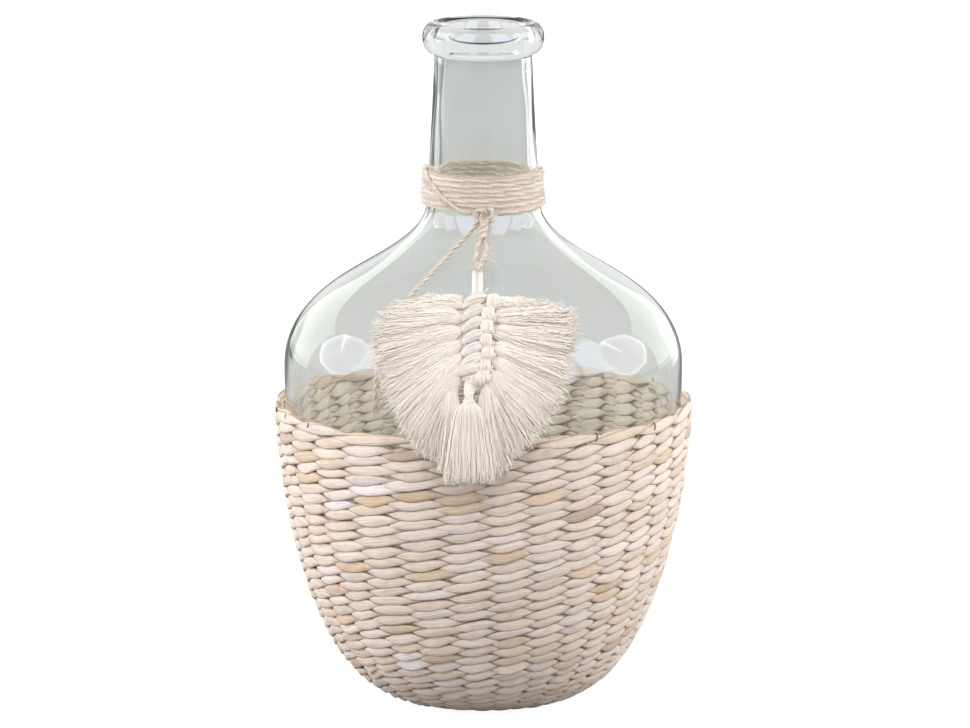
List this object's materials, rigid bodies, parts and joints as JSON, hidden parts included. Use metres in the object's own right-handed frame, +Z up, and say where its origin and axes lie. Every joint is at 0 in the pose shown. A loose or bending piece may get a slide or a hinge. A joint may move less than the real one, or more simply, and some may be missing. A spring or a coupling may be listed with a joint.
{
  "type": "reed-wrapped bottle",
  "caption": "Clear glass carboy vase standing in a twined reed basket, with twine wound round its neck and a knotted cotton leaf with a tassel hanging from the twine",
  "frame": {"origin": "middle of the flat foot of the basket, where the object stands", "axes": "+Z up along the bottle's axis, +X to the right, and the cotton leaf hangs on the -Y side, which is the front"},
  "size_m": [0.1857, 0.2014, 0.3],
  "materials": {
    "clear_glass": "smooth clear glass with a faint grey-green tint",
    "jute_twine": "rough plied jute twine with loose fibres",
    "reed": "dry matt water-reed, pale cream with a pink cast, streaked along its length",
    "reed_stake": "dry matt reed stake, a little darker",
    "reed_border": "dry matt reed, pale cream",
    "cotton": "soft unbleached cotton cord, combed out to a fringe"
  },
  "bodies": {
    "basket": {"basket_base": "reed", "basket_stakes": "reed_stake", "rim_border": "reed_border", "weft_course_01": "reed", "weft_course_02": "reed", "weft_course_03": "reed", "weft_course_04": "reed", "weft_course_05": "reed", "weft_course_06": "reed", "weft_course_07": "reed", "weft_course_08": "reed", "weft_course_09": "reed", "weft_course_10": "reed", "weft_course_11": "reed", "weft_course_12": "reed", "weft_course_13": "reed", "weft_course_14": "reed", "weft_course_15": "reed", "weft_course_16": "reed", "weft_course_17": "reed", "weft_course_18": "reed", "weft_course_19": "reed", "weft_course_20": "reed", "weft_course_21": "reed", "weft_course_22": "reed", "weft_course_23": "reed", "weft_course_24": "reed", "weft_course_25": "reed", "weft_course_26": "reed", "weft_course_27": "reed"},
    "bottle": {"glass_bottle": "clear_glass", "neck_twine_wrap": "jute_twine", "twine_knot": "jute_twine", "twine_tail": "jute_twine"},
    "leaf": {"twine_hanger": "jute_twine", "leaf_spine_cord": "cotton", "leaf_end_knot": "cotton", "leaf_string_left_1": "cotton", "leaf_string_left_2": "cotton", "leaf_string_left_3": "cotton", "leaf_string_left_4": "cotton", "leaf_string_left_5": "cotton", "leaf_string_left_6": "cotton", "leaf_string_left_7": "cotton", "leaf_string_right_1": "cotton", "leaf_string_right_2": "cotton", "leaf_string_right_3": "cotton", "leaf_string_right_4": "cotton", "leaf_string_right_5": "cotton", "leaf_string_right_6": "cotton", "leaf_string_right_7": "cotton"},
    "tassel": {"tassel_skirt": "cotton", "tassel_binding": "cotton"}
  },
  "joints": [
    {"name": "bottle_lift", "type": "slide", "parent": "basket", "child": "bottle", "axis": [0, 0, 1], "range_m": [0, 0.14]},
    {"name": "leaf_swing", "type": "hinge", "parent": "bottle", "child": "leaf", "pos_m": [0.0007, -0.0306, 0.21975], "axis": [-1, 0, 0], "range_deg": [0, 80]},
    {"name": "tassel_swing", "type": "hinge", "parent": "leaf", "child": "tassel", "pos_m": [-0.00608, -0.09832, 0.15294], "axis": [-1, 0, 0], "range_deg": [0, 60]}
  ]
}
